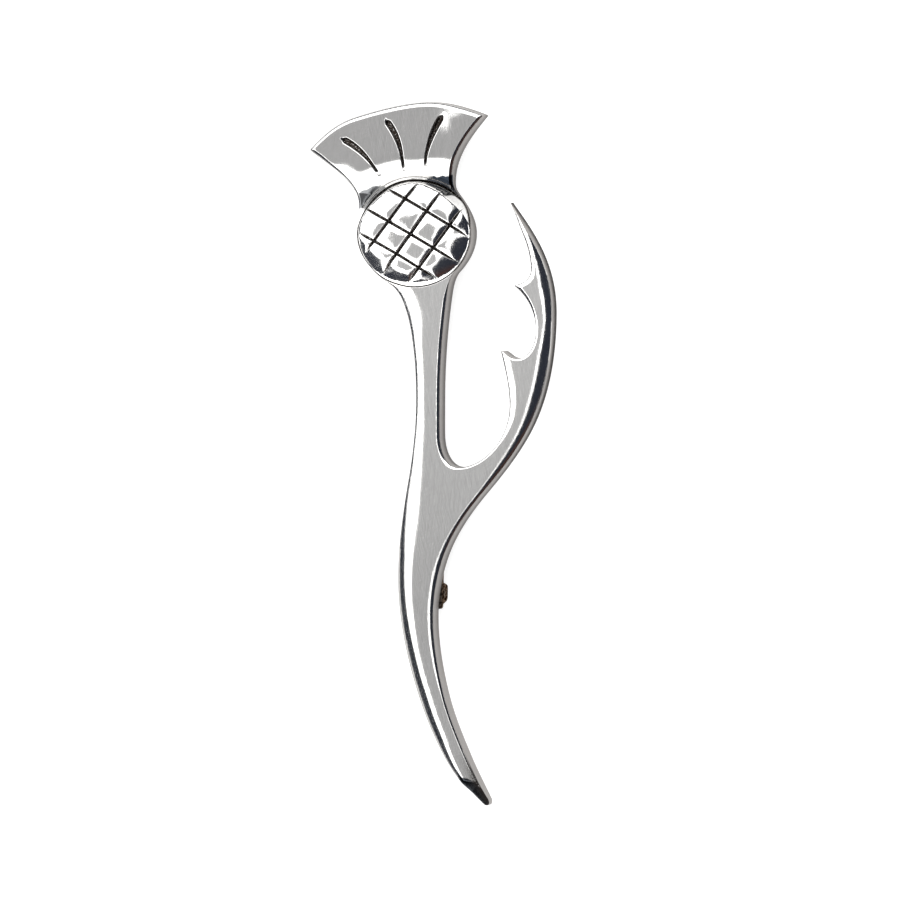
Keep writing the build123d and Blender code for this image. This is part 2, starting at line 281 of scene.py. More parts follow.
# A second, finer line outside it, where the tuft's face begins, and the Y over which it fades in
brow_out = 0.42
brow_cut = 0.09
brow_half = 0.1
brow_dark = 0.8
BROW_FADE = (0.5, 3.0)

# How deep a groove is where it has become quite black, and how closely falls of the face that meet keep to
# the larger of them: more is sharper
soot_depth = 0.14
edge_union = 3.0
pillow_union = 2.4

Groove = namedtuple("Groove", "part x0 y0 x1 y1 bow")

# Grooves, as in the solid: both ends as shares of the half sizes of the dome, or of the tuft's width and
# height, and how far the middle bows out to the left of the way from first to second end, in mm
HATCH = [
    Groove("dome", -0.48, 0.85, 0.97, -0.06, 0.25),
    Groove("dome", -0.89, 0.49, 0.77, -0.53, 0.25),
    Groove("dome", -0.98, 0.01, 0.39, -0.84, 0.30),
    Groove("dome", -0.82, -0.34, 0.07, 0.95, -0.12),
    Groove("dome", -0.53, -0.76, 0.51, 0.81, -0.17),
    Groove("dome", -0.07, -0.91, 0.86, 0.47, -0.20),
]
TUFT_GROOVES = [
    Groove("tuft", -0.410, 0.531, -0.209, 0.095, 0.48),
    Groove("tuft", -0.159, 0.773, -0.064, 0.150, 0.58),
    Groove("tuft", 0.166, 0.835, 0.062, 0.200, -0.42),
]
hatch_width = 0.41
hatch_depth = 0.6
hatch_sides = 62
tuft_groove_width = 0.86
tuft_groove_sides = 60
tuft_groove_depth = 0.35
tuft_groove_top = 0.07
tuft_groove_foot = 0.05
tuft_groove_taper = 0.55
groove_lip = 0.05

# Polishing has swollen the face between the dome's grooves: how far from a groove, and how steep beside it
pillow_reach = 0.9
pillow_slope = 18

# Painted shade at the foot of the wall: how dark it is painted there, from one node of the outline to the
# next, and the heights over which that fades
WALL_PAINTED_SHADE = [
    ("tuft left tip", 0.1),
    ("tuft right tip", 0.4),
    ("bulb right", 0.5),
    ("fork", 0.6),
    ("leaf belly", 0.2),
    ("leaf tip", 1.0),
    ("leaf outer foot", 1.0),
    ("fork back", 0.55),
    ("heel low", 0.4),
    ("tail right", 0.0),
    ("neck left", 0.1),
]
WALL_SHADE_LEVELS = (0.3, 2.2)

Oxide = namedtuple("Oxide", "dense lowest border")

# Black oxide where the polishing wheel doesn't reach: in the hollow on each side of the dome's top, and at
# the end of the point. It lies under a ragged border, over which it fades in, down to a lowest Y
OXIDE = [
    Oxide(0.99, 3.0, [(0.8, 6.3), (1.9, 6.95), (2.4, 7.05), (2.7, 6.8), (3.5, 7.1), (3.9, 6.95), (4.7, 7.2),
                      (6.0, 7.2)]),
    Oxide(0.80, 3.0, [(-7.4, 4.6), (-6.9, 5.2), (-6.2, 5.35), (-5.5, 5.75), (-4.8, 5.8), (-3.9, 5.7)]),
    Oxide(0.95, -80.0, [(5.6, -66.0), (6.3, -66.2), (6.9, -66.3), (7.4, -66.55), (7.8, -66.6), (8.2, -67.2),
                        (8.6, -67.5), (9.5, -68.3), (10.5, -69.0)]),
]

oxide_off_dome = 0.1
OXIDE_FADE = (-0.03, 0.07)

# Brown tarnish along the right-hand side of the point: where its edge begins and ends, over what share of
# that it fades in, how wide it grows and how dense it is
Tarnish = namedtuple("Tarnish", "start end onset reach dense")
TARNISH = Tarnish((5.9, -62.0), (9.3, -69.0), 0.6, 1.7, 0.85)

# The tuft's face sinks towards the bulb from a wavy brow. It bends down over a short way and then keeps
# its slope, down to a lowest Y, and it sinks once more close to the dome, by the angle round the dome. Both
# fade in over a span of Y
BROW_X = (-12.0, -9.9, -8.8, -7.6, -6.3, -5.6, -4.3, -2.2, 0.2, 2.9, 5.0)
BROW_Y = (9.0, 9.3, 9.0, 8.3, 8.3, 8.9, 9.3, 9.8, 9.8, 10.1, 9.7)
brow_spread = 0.8
fall_bend = 1.0
fall_slope = 0.26
fall_lowest = 4.8
FALL_FADE = (0.0, 4.0)
DOME_SIDE_ANGLES = (20, 50, 70, 95, 120, 160)
DOME_SIDE_SLOPES = (0.5, 0.9, 0.8, 0.0, 0.5, 0.6)
dome_side_reach = 1.3

# A low swelling of the tuft's face beside its right-hand groove, left by the polishing
swelling_at = (5.2, 13.5)
swelling_reach = 1.15
swelling_height = 0.19

# The faint waviness that hand polishing leaves: a seed, and the size and height of the waves
Waves = namedtuple("Waves", "seed size height")
PLATE_WAVES = Waves(4, 5.0, 0.006)
DOME_WAVES = Waves(7, 3.0, 0.006)
wave_count = 9

# How finely the casting is divided
curve_points = 200
corner_points = 9
rim_points = 230
outline_step = 0.22
groove_step = 0.05
face_step = 0.32
back_step = 1.2
crossing_step = 0.05
crossing_reach = 0.36
patch_step = 0.1
closest = 0.022
hatch_row_step = 0.2
tuft_row_step = 0.15

# How far vertices of each kind keep from what has rows of its own: from grooves, from the places where
# these cross, from the outline, and from the dome's foot, beyond it or within it
edges_off_tuft = 0.3
edges_beyond = 0.125
hatch_off_hatch = 0.14
hatch_off_crossing = 0.03
hatch_within = 0.09
tuft_beyond = 0.8
rim_off_hatch = 0.3
rim_off_tuft = 0.1
rim_off_outline = 0.045
rim_off_far_outline = 0.5
rim_within = 0.1
between_off_edges = 0.12
between_off_hatch = 0.86
between_off_tuft = 0.36
between_beyond = 0.9
between_within = 1.3
back_off_outline = 0.4

# The share of the outline's free width that the rows on an edge, and the rounding of the back, may take up
edge_share = 0.95
back_share = 0.9

Patch = namedtuple("Patch", "low high margin")

# Where the face needs finer triangles for an oxide's border or a crease: two corners, and how far from the
# outline they begin
FINE_PATCHES = [
    Patch((0.8, 5.7), (6.0, 7.5), 0.5),
    Patch((-7.4, 4.0), (-3.9, 6.1), 0.5),
    Patch((6.0, -70.5), (11.0, -64.5), 0.12),
]

# Rows of vertices. Across an edge: how many on its rounding, then shares of its facet and of its crown.
# Round the dome: distances out from its foot. Along a groove: half widths of it, and then mm beyond them.
# Down the wall: shares of the way to the rounding of the back, then degrees round that
rounding_rows = 5
FACET_ROWS = (0.35, 0.7, 1.0)
CROWN_ROWS = (0.15, 0.32, 0.5, 0.7, 0.9, 1.1)
DOME_ROWS = (0.75, 0.6, 0.52, 0.46, 0.42, 0.38, 0.32, 0.24, 0.17, 0.12, 0.085, 0.05, 0.015, -0.02, -0.06,
             -0.11, -0.18, -0.27, -0.38, -0.52, -0.7, -0.9, -1.15)
HATCH_ROWS = ((0.4, 0), (0.75, 0), (0.92, 0), (1, 0.03), (1, 0.09), (1, 0.17), (1, 0.3), (1, 0.5), (1, 0.75))
TUFT_ROWS = ((0.4, 0), (0.7, 0), (0.9, 0), (1, 0.03), (1, 0.08), (1, 0.15), (1, 0.26))
WALL_ROWS = (0.12, 0.3, 0.5, 0.7, 0.88, 1.0)
BACK_ROWS = (18, 36, 54, 72, 90)
back_round = 0.22


def share(values, low, high):
    """0 below low, 1 above high, eased between."""
    t = np.clip((values - low) / (high - low), 0, 1)
    return t * t * (3 - 2 * t)


def reaches():
    """Each part of the outline: its origin, its reach across, its own width and its length, in mm."""
    fork_x = stem_lean * stem_sweep + stem_width / 2
    fork_y = -bulb_length / 2 - fork_at * stem_length
    return {
        "tuft": (0, bulb_length / 2, tuft_width, 0, tuft_height),
        "bulb": (0, 0, bulb_width / 2 + bulb_rim, 0, bulb_length / 2 + bulb_rim),
        "dome": (0, 0, bulb_width / 2, 0, bulb_length / 2),
        "stem": (0, -bulb_length / 2, stem_sweep, stem_width, -stem_length),
        "leaf": (fork_x, fork_y, leaf_reach, 0, leaf_length),
    }


def place(part, across, along, thick=0):
    x, y, reach, width, length = reaches()[part]
    return np.array([x + across * reach + thick * width, y + along * length])


def unit(ways):
    return ways / np.linalg.norm(ways, axis=-1)[..., None]


def heading(degrees):
    return np.array([math.cos(math.radians(degrees)), math.sin(math.radians(degrees))])


def outline_handles():
    """The four control points of the cubic curve from each node of the outline to the next."""
    handles = []
    for here, after in zip(OUTLINE, OUTLINE[1:] + OUTLINE[:1]):
        start = place(here.part, here.across, here.along, here.thick)
        end = place(after.part, after.across, after.along, after.thick)
        chord = np.linalg.norm(end - start)
        first = start + here.pull_out * chord * heading(here.leave)
        second = end - after.pull_in * chord * heading(after.arrive)
        handles.append((start, first, second, end))
    return handles


def on_curve(handles, t):
    """Points of a Bezier curve of any order, by repeated halving between its control points."""
    points = [np.outer(np.ones_like(t), handle) for handle in handles]
    while len(points) > 1:
        points = [a + (b - a) * t[:, None] for a, b in zip(points, points[1:])]
    return points[0]


def outline():
    """Points round the casting, clockwise, and how far along the list of curves each one is."""
    handles = outline_handles()
    fine = np.linspace(0, 1, curve_points)
    spans = []
    for index, curve in enumerate(handles):
        way = np.linalg.norm(np.diff(on_curve(curve, fine), axis=0), axis=1)
        length = np.concatenate([[0], np.cumsum(way)])
        first = CORNERS.get(NAMES[index], 0)
        last = length[-1] - CORNERS.get(NAMES[(index + 1) % len(NAMES)], 0)
        stations = np.linspace(first, last, max(4, math.ceil((last - first) / outline_step) + 1))
        spans.append(np.interp(stations, length, fine))
    points, places = [], []
    for index, t in enumerate(spans):
        if NAMES[index] in CORNERS:
            before = on_curve(handles[index - 1], spans[index - 1][-1:])[0]
            after = on_curve(handles[index], t[:1])[0]
            bend = np.linspace(0, 1, corner_points)[1:-1]
            points.append(on_curve((before, handles[index][0], after), bend))
            places.append(index + (bend - 0.5) * 2 * t[0])
        points.append(on_curve(handles[index], t[:-1]))
        places.append(index + t[:-1])
        if NAMES[(index + 1) % len(NAMES)] in CORNERS:
            points.append(on_curve(handles[index], t[-1:]))
            places.append(index + t[-1:])
    return np.concatenate(points), np.concatenate(places)


def nearest(line, points, closed=False):
    """For each point, how far it is from a line of points, and where along the line that is."""
    if closed:
        line = np.vstack([line, line[:1]])
    start, way = line[:-1], np.diff(line, axis=0)
    square = np.maximum((way**2).sum(1), 1e-12)
    distance, station = np.empty(len(points)), np.empty(len(points))
    at_once = 4000
    for low in range(0, len(points), at_once):
        some = points[low:low + at_once]
        gap = some[:, None] - start[None]
        t = np.clip((gap * way[None]).sum(2) / square, 0, 1)
        off = np.hypot(gap[..., 0] - t * way[:, 0], gap[..., 1] - t * way[:, 1])
        best = off.argmin(1)
        rows = np.arange(len(some))
        distance[low:low + at_once] = off[rows, best]
        station[low:low + at_once] = best + t[rows, best]
    return distance, station


def edge_drop(inward, edge):
    """How far the face has fallen at a distance in from an edge that is worked like that."""
    rounding, facet, crown = edge["round"], np.maximum(edge["facet"], 1e-6), np.maximum(edge["crown"], 1e-6)
    flank, brink = np.tan(np.radians(edge["flank"])), np.tan(np.radians(edge["brink"]))
    foot = edge_foot(edge)
    on_crown = np.clip((foot + facet + crown - inward) / crown, 0, 1)
    on_facet = np.clip((foot + facet - inward) / facet, 0, 1)
    in_arc = rounding - np.clip(inward, 0, foot)
    arc = rounding * np.cos(np.radians(edge["brink"])) - np.sqrt(np.maximum(rounding**2 - in_arc**2, 0))
    fall = flank * crown * on_crown**2 / 2
    fall += facet * (flank * on_facet + (brink - flank) * on_facet**2 / 2)
    return fall + np.where(inward < foot, arc, 0)


def edge_foot(edge):
    """How far in the rounding of an edge reaches."""
    return edge["round"] * (1 - np.sin(np.radians(edge["brink"])))


def edge_rows(edge):
    """Distances in from an edge at which its section is drawn, as one row of places for each point."""
    foot = edge_foot(edge)
    turn = np.linspace(0, 1, rounding_rows + 1)[1:]
    upright = np.radians(90 - turn[:, None] * (90 - edge["brink"]))
    rows = [edge["round"] * (1 - np.sin(upright))]
    rows.append(foot + edge["facet"] * np.array(FACET_ROWS)[:, None])
    rows.append(foot + edge["facet"] + edge["crown"] * np.array(CROWN_ROWS)[:, None])
    return np.concatenate(rows)


def table_at(at, stations, rows):
    """The widths and angles of a table's rows, changing evenly from each row's station to the next."""
    names = [name for name in rows[0]._fields if name != "curve"]
    return {name: np.interp(at, stations, [getattr(row, name) for row in rows]) for name in names}


class Side:
    """One worked edge of the casting, from one corner of the outline to the next."""

    def __init__(self, points, places, first, last):
        inside = (places >= first) & (places <= last)
        self.points = points[inside]
        self.places = places[inside]
        self.rows = [row for row in EDGES if first <= NAMES.index(row.curve) < last]
        self.stations = [NAMES.index(row.curve) + row.at for row in self.rows]

    def edge(self, places):
        return table_at(places, self.stations, self.rows)

    def drop(self, points):
        distance, station = nearest(self.points, points)
        places = np.interp(station, np.arange(len(self.places)), self.places)
        return edge_drop(distance, self.edge(places))


def sides(points, places):
    """The worked edges. Places run on past the last corner, so that the last edge is in one piece."""
    corners = [NAMES.index(name) for name in CORNERS]
    looped = np.vstack([points, points[:1]])
    run = np.concatenate([places, [places[0] + len(NAMES)]])
    found = []
    for first, last in zip(corners, corners[1:] + [len(NAMES)]):
        found.append(Side(looped, run, first, last))
    return found


def inward_normals(points):
    """Unit normals of the outline, which runs clockwise, pointing into the metal."""
    way = unit(np.roll(points, -1, axis=0) - np.roll(points, 1, axis=0))
    return np.stack([way[:, 1], -way[:, 0]], axis=1)


def free_widths(points, normals):
    """Radius of the largest circle inside the outline that touches it at each point."""
    gap = points[None] - points[:, None]
    depth = (gap * normals[:, None]).sum(2)
    square = (gap**2).sum(2)
    radius = np.where(depth > 1e-6, square / np.maximum(2 * depth, 1e-9), np.inf)
    np.fill_diagonal(radius, np.inf)
    return radius.min(1)


def rim_distance(points):
    """Distance out from the foot of the dome, negative inside, the angle round it, and the distance from its
    middle as a share of the way to its foot."""
    half = np.array([bulb_width / 2, bulb_length / 2])
    ratio = points / half
    rho = np.maximum(np.linalg.norm(ratio, axis=1), 1e-6)
    steep = np.linalg.norm(ratio / half, axis=1) / rho
    return (rho - 1) / np.maximum(steep, 1e-6), np.degrees(np.arctan2(ratio[:, 1], ratio[:, 0])), rho


def foot_distance(points):
    return rim_distance(points)[0]


def groove_line(groove):
    """Points along a groove: an arc through its two ends and its bowed middle."""
    start = place(groove.part, groove.x0, groove.y0)
    end = place(groove.part, groove.x1, groove.y1)
    length = np.linalg.norm(end - start)
    left = np.array([start[1] - end[1], end[0] - start[0]]) / length
    middle = (start + end) / 2
    t = 2 * np.linspace(0, 1, math.ceil(length / groove_step) + 1) - 1
    return middle + np.outer(t, (end - start) / 2) + np.outer(groove.bow * (1 - t**2), left)


def hatch_half_width(along):
    """Half the width of a hatch groove at a share of its length: it runs out to a point at both ends."""
    ends = np.minimum(along, 1 - along)
    return hatch_width / 2 * share(ends, -0.05, 0.12)


def tuft_half_width(along):
    """Half the width of a tuft groove: a long drop, widest a third of the way from its top."""
    ends = np.minimum(along / tuft_groove_top, (1 - along) / tuft_groove_foot)
    ends = np.sqrt(np.clip(ends, 0, 1))
    return tuft_groove_width / 2 * ends * (1 - tuft_groove_taper * share(along, 0.15, 1.0))


class Cut:
    """A groove in the face: its line, its half width along it, and how it is cut."""

    def __init__(self, groove, half_width, slope, floor):
        self.line = groove_line(groove)
        self.half_width = half_width
        self.slope = math.tan(math.radians(slope))
        self.floor = floor

    def section(self, points):
        """Distance from the groove's line, and half the groove's width there."""
        distance, station = nearest(self.line, points)
        return distance, self.half_width(station / (len(self.line) - 1))

    def depth(self, points):
        distance, half = self.section(points)
        lip = groove_lip
        fall = self.slope * (half - distance)
        fall = (fall + np.sqrt(fall**2 + lip**2)) / 2 - lip**2 / (4 * np.maximum(-fall, lip / 2))
        fall = np.where(distance > half + 0.25, 0, np.maximum(fall, 0))
        return np.minimum(fall, self.floor * (1 - np.exp(-fall / self.floor)) * 1.3)


def smooth_union(falls, power):
    """Several falls of the face as one, without a crease where two are alike."""
    return (np.stack(falls)**power).sum(0)**(1 / power)


def waviness(points, waves):
    """Slow unevenness of hand-polished metal: long waves that cross."""
    rng = np.random.default_rng(waves.seed)
    total = np.zeros(len(points))
    for _ in range(wave_count):
        turn, start = rng.uniform(0, 2 * math.pi, 2)
        length = waves.size * rng.uniform(0.7, 1.6)
        phase = (points @ np.array([math.cos(turn), math.sin(turn)])) * 2 * math.pi / length
        total += waves.height / math.sqrt(wave_count) * np.sin(phase + start)
    return total


def tuft_fall(points, out, angle):
    """How far the tuft's face has sunk below its brow and towards the dome."""
    x, y = points.T
    spread_over = np.linspace(-brow_spread, brow_spread, 9)
    brow = np.mean([np.interp(x + shift, BROW_X, BROW_Y) for shift in spread_over], axis=0)
    below = np.maximum(brow - np.maximum(y, fall_lowest), 0)
    wide = fall_slope * np.where(below < fall_bend, below**2 / 2, fall_bend * below - fall_bend**2 / 2)
    slope = np.interp(angle, DOME_SIDE_ANGLES, DOME_SIDE_SLOPES)
    near = slope * dome_side_reach * np.clip(1 - out / dome_side_reach, 0, 1)**2 / 2
    return (wide + near) * share(y, *FALL_FADE)


def tuft_swell(points):
    return swelling_height * np.exp(-((points - swelling_at)**2).sum(1) / (2 * swelling_reach**2))


def stains(points, out):
    """How much of the face is black oxide, and how much is brown tarnish."""
    x, y = points.T
    oxide = np.zeros(len(points))
    for patch in OXIDE:
        at_x, at_y = np.array(patch.border).T
        within = (x > at_x[0]) & (x < at_x[-1]) & (y > patch.lowest) & (out > oxide_off_dome)
        oxide = np.maximum(oxide, patch.dense * within * share(np.interp(x, at_x, at_y) - y, *OXIDE_FADE))
    way = np.subtract(TARNISH.end, TARNISH.start)
    length = math.hypot(*way)
    along = (points - TARNISH.start) @ way / length**2
    inward = (points - TARNISH.start) @ np.array([way[1], -way[0]]) / length
    return oxide, TARNISH.dense * share(along, 0, TARNISH.onset) * (1 - share(inward, 0, TARNISH.reach))


class Face:
    """The height of the casting's face over its back, in mm, anywhere inside its outline."""

    def __init__(self, points, places):
        self.sides = sides(points, places)
        self.hatch = [Cut(groove, hatch_half_width, hatch_sides, hatch_depth) for groove in HATCH]
        self.tuft = [Cut(groove, tuft_half_width, tuft_groove_sides, tuft_groove_depth)
                     for groove in TUFT_GROOVES]

    def plate(self, points, out, angle):
        falls = [side.drop(points) for side in self.sides]
        height = plate_thickness - smooth_union(falls, edge_union)
        height -= tuft_fall(points, np.maximum(out, 0), angle)
        return height + tuft_swell(points) + waviness(points, PLATE_WAVES)

    def dome(self, points, out, angle, rho):
        rim = table_at(angle, [row.angle for row in DOME_RIM], DOME_RIM)
        flare, bow, power = rim["flare"], rim["bow"], rim["power"]
        height = plate_thickness + dome_height - bow * rho**power
        height -= edge_drop(np.maximum(-out - flare, 0), rim)
        bow_slope = 2 * power * bow / math.sqrt(bulb_width * bulb_length)
        height += (bow_slope - math.tan(math.radians(flare_slope))) * np.maximum(flare + out, 0)
        pillows = []
        for cut in self.hatch:
            distance, half = cut.section(points)
            reach = pillow_reach * np.minimum(half * 2 / hatch_width, 1)
            on_pillow = np.clip(1 - (distance - half) / np.maximum(reach, 0.05), 0, 1)
            pillows.append(math.tan(math.radians(pillow_slope)) * reach * on_pillow**2 / 2)
        height -= smooth_union(pillows, pillow_union)
        return height + waviness(points, DOME_WAVES)

    def height(self, points):
        """Heights, how dark each point has stayed, as down in a groove, and how much oxide is on it."""
        out, angle, rho = rim_distance(points)
        inside = out < ring_out
        plate = self.plate(points, out, angle)
        hatch = np.where(inside, np.stack([cut.depth(points) for cut in self.hatch]).max(0), 0)
        tuft = np.where(inside, 0, np.stack([cut.depth(points) for cut in self.tuft]).max(0))
        brow = brow_cut * np.clip(1 - np.abs(out - brow_out) / brow_half, 0, 1)
        brow = np.where(inside, 0, brow * share(points[:, 1], *BROW_FADE))
        height = np.where(inside, self.dome(points, out, angle, rho) - hatch, plate - tuft) - brow
        line = plate - ring_cut + np.abs(out - ring_out) * math.tan(math.radians(ring_sides))
        height = (height + line - np.sqrt((height - line)**2 + ring_soft**2)) / 2
        dark = np.maximum(share(hatch, 0.0, soot_depth), share(tuft, 0.0, soot_depth))
        dark = np.maximum(dark, 1 - share(np.abs(out - ring_out), *RING_DARK))
        dark = np.maximum(dark, brow / brow_cut * brow_dark)
        oxide, tarnish = stains(points, out)
        return height, np.maximum(dark, tarnish), oxide * (1 - dark)


def spread(points, apart):
    """The points without those that lie closer together than that, the first of them kept."""
    cells = {}
    kept = []
    for index, (x, y) in enumerate(points):
        column, row = math.floor(x / apart), math.floor(y / apart)
        near = (cells.get((column + i, row + j)) for i in (-1, 0, 1) for j in (-1, 0, 1))
        near = (points[other] for other in near if other is not None)
        if all(math.hypot(other_x - x, other_y - y) >= apart for other_x, other_y in near):
            cells[(column, row)] = index
            kept.append(index)
    return points[kept]


def lattice(low, high, step):
    """Points of a triangular lattice over a rectangle."""
    rows = np.arange(low[1], high[1], step * math.sqrt(3) / 2)
    grid = []
    for index, y in enumerate(rows):
        x = np.arange(low[0] + step / 2 * (index % 2), high[0], step)
        grid.append(np.stack([x, np.full_like(x, y)], axis=1))
    return np.concatenate(grid)


def groove_rows(cut, offsets, step):
    """Rows of points along a groove, the offsets in half widths of it and then in mm beyond them."""
    line = cut.line[::max(1, round(step / groove_step))]
    way = unit(np.gradient(line, axis=0))
    left = np.stack([-way[:, 1], way[:, 0]], axis=1)
    half = cut.half_width(np.linspace(0, 1, len(line)))[:, None]
    rows = [line]
    for inside, beyond in offsets:
        for hand in (-1, 1):
            rows.append(line + hand * left * (half * inside + beyond))
    return np.concatenate(rows)


def edge_vertices(loop, normals, free, face):
    """Points in rows along every worked edge, and how far in from each outline point the rows reach."""
    found, reach = [], np.zeros(len(loop))
    for side in face.sides:
        rows = edge_rows(side.edge(side.places))
        _, index = nearest(loop, side.points, closed=True)
        index = np.round(index).astype(int) % len(loop)
        tight = np.minimum(1, edge_share * free[index] / np.maximum(rows[-1], 1e-6))
        reach[index] = np.maximum(reach[index], rows[-1] * tight)
        for row in rows:
            inward = row * tight
            found.append((side.points + inward[:, None] * normals[index])[inward > 0.004])
    return np.concatenate(found), reach


def rim_vertices():
    """Points in rows round the dome."""
    angle = np.linspace(0, 2 * math.pi, rim_points, endpoint=False)
    around = np.stack([np.cos(angle) * bulb_width / 2, np.sin(angle) * bulb_length / 2], axis=1)
    outward = unit(np.stack([np.cos(angle) / bulb_width, np.sin(angle) / bulb_length], axis=1))
    return np.concatenate([around + out * outward for out in DOME_ROWS])


def hatch_vertices(cuts):
    """Points in rows along the dome's grooves, and the places where two of them cross."""
    found, crossings = [], []
    for cut in cuts:
        rows = groove_rows(cut, HATCH_ROWS, hatch_row_step)
        for other in cuts:
            if other is not cut:
                distance, half = other.section(rows)
                rows = rows[distance > half + hatch_off_hatch]
                distance, _ = nearest(other.line, cut.line)
                if distance.min() < 0.1:
                    crossings.append(cut.line[distance.argmin()])
        found.append(rows[foot_distance(rows) < -hatch_within])
    return np.concatenate(found), np.array(crossings)


def fine_vertices(loop, crossings):
    """Fine points where grooves cross and over the fine patches."""
    found = []
    for spot in crossings:
        patch = lattice(spot - crossing_reach, spot + crossing_reach, crossing_step)
        found.append(patch[np.hypot(*(patch - spot).T) < crossing_reach])
    for low, high, margin in FINE_PATCHES:
        patch = lattice(low, high, patch_step)
        gap, _ = nearest(loop, patch, closed=True)
        found.append(patch[(gap > margin) & (foot_distance(patch) > tuft_beyond) & inside_loop(patch, loop)])
    return np.concatenate(found)


def near_groove(points, cuts, margin):
    close = np.zeros(len(points), bool)
    for cut in cuts:
        distance, half = cut.section(points)
        close |= distance < half + margin
    return close


def face_vertices(loop, normals, free, face):
    """Where the face gets vertices inside its outline: along every edge and groove, and between."""
    edges, reach = edge_vertices(loop, normals, free, face)
    edges = edges[foot_distance(edges) >= edges_beyond]
    edges = edges[~near_groove(edges, face.tuft, edges_off_tuft)]

    hatch, crossings = hatch_vertices(face.hatch)
    hatch = hatch[nearest_point(hatch, crossings) >= crossing_reach + hatch_off_crossing]
    tuft = np.concatenate([groove_rows(cut, TUFT_ROWS, tuft_row_step) for cut in face.tuft])
    tuft = tuft[foot_distance(tuft) >= tuft_beyond]

    rim = rim_vertices()
    rim = rim[(foot_distance(rim) > -rim_within) | ~near_groove(rim, face.hatch, rim_off_hatch)]
    gap, _ = nearest(loop, rim, closed=True)
    margin = np.where(foot_distance(rim) > 0.2, rim_off_far_outline, rim_off_outline)
    rim = rim[(gap > margin) & inside_loop(rim, loop)]
    rim = rim[~near_groove(rim, face.tuft, rim_off_tuft)]

    between = lattice(loop.min(0), loop.max(0), face_step)
    gap, station = nearest(loop, between, closed=True)
    covered = np.interp(station, np.arange(len(loop) + 1), np.append(reach, reach[0]))
    between = between[(gap > covered + between_off_edges) & inside_loop(between, loop)]
    out = foot_distance(between)
    between = between[(out <= -between_within) | (out >= between_beyond)]
    between = between[~near_groove(between, face.tuft, between_off_tuft)]
    between = between[~near_groove(between, face.hatch, between_off_hatch) | (foot_distance(between) >= 0)]
    fine = fine_vertices(loop, crossings)
    return spread(np.concatenate([fine, hatch, tuft, rim, edges, between]), closest)


def nearest_point(points, others):
    gap = points[:, None] - others[None]
    return np.hypot(gap[..., 0], gap[..., 1]).min(1)


def inside_loop(points, loop):
    """Which points lie inside a closed loop, by counting the edges passed on the way to the right."""
    inside = np.zeros(len(points), bool)
    for (x0, y0), (x1, y1) in zip(loop, np.roll(loop, -1, axis=0)):
        if y0 == y1:
            continue
        passed = (points[:, 1] > min(y0, y1)) & (points[:, 1] <= max(y0, y1))
        inside ^= passed & (points[:, 0] < x0 + (points[:, 1] - y0) * (x1 - x0) / (y1 - y0))
    return inside


def triangles(loop, inner):
    """Triangles over a loop of points and the points inside it. The loop comes first in the numbering."""
    plan = [Vector(p) for p in np.concatenate([loop, inner])]
    border = [(i, (i + 1) % len(loop)) for i in range(len(loop))]
    _, _, faces, origins, _, _ = delaunay_2d_cdt(plan, border, [], 1, 1e-7)
    number = [origin[0] if origin else -1 for origin in origins]
    kept = []
    for face in faces:
        corners = [number[i] for i in face]
        if min(corners) >= 0 and len(set(corners)) == 3:
            kept.append(corners)
    return np.array(kept)


def casting_mesh():
    """Vertices in mm, faces, and three values for the finish at each vertex: darkness, which at the foot of
    the wall is painted shade, wall and oxide.
    """
    loop, places = outline()
    normals = inward_normals(loop)
    free = free_widths(loop, normals)
    face = Face(loop, places)
    inner = face_vertices(loop, normals, free, face)
    plan = np.concatenate([loop, inner])
    height, dark, oxide = face.height(plan)
    gap, _ = nearest(loop, plan, closed=True)
    vertices = [np.column_stack([plan, height])]
    darkness = [dark]
    wall = [1 - share(gap, 0.0, 0.12)]
    faces = [tuple(f) for f in triangles(loop, inner)]

    # The wall, as rings of the outline's points from its brim down to the flat of the back
    count = len(loop)
    brim = height[:count]
    tight = np.minimum(1, back_share * free / back_round)
    levels = [(0 * free, brim + (back_round - brim) * way) for way in WALL_ROWS]
    for turn in np.radians(BACK_ROWS):
        inward = back_round * (1 - math.cos(turn)) * tight
        levels.append((inward, back_round * (1 - math.sin(turn)) + 0 * brim))
    # Painted shade: the foot of the wall is painted darker through the darkness attribute, fading out higher
    # up
    stations, amounts = [NAMES.index(name) for name, _ in WALL_PAINTED_SHADE], [amount for _, amount in WALL_PAINTED_SHADE]
    painted_wall_shade = np.interp(places, stations, amounts)
    ring, offset = np.arange(count), len(plan)
    for inward, level in levels:
        below = offset + np.arange(count)
        vertices.append(np.column_stack([loop + inward[:, None] * normals, level]))
        darkness.append(painted_wall_shade * (1 - share(level, *WALL_SHADE_LEVELS)))
        wall.append(np.ones(count))
        faces += zip(ring, np.roll(ring, -1), np.roll(below, -1), below)
        ring, offset = below, offset + count

    foot = vertices[-1][:, :2]
    behind = lattice(foot.min(0), foot.max(0), back_step)
    gap, _ = nearest(foot, behind, closed=True)
    behind = behind[(gap > back_off_outline) & inside_loop(behind, foot)]
    number = np.concatenate([ring, offset + np.arange(len(behind))])
    vertices.append(np.column_stack([behind, 0 * behind[:, 0]]))
    darkness.append(np.zeros(len(behind)))
    wall.append(np.ones(len(behind)))
    faces += [tuple(number[i] for i in f[::-1]) for f in triangles(foot, behind)]
    vertices = np.concatenate(vertices)
    oxide = np.append(oxide, np.zeros(len(vertices) - len(oxide)))
    finish = {"darkness": np.concatenate(darkness), "wall": np.concatenate(wall), "oxide": oxide}
    return vertices, faces, finish


def plan_shift():
    """From plan millimetres to the frame: what is added to X and Y, and the height of the back."""
    right, top = outline()[0].max(0) * MM
    return Vector((casting_high.x - right, casting_high.y - top, casting_low.z))


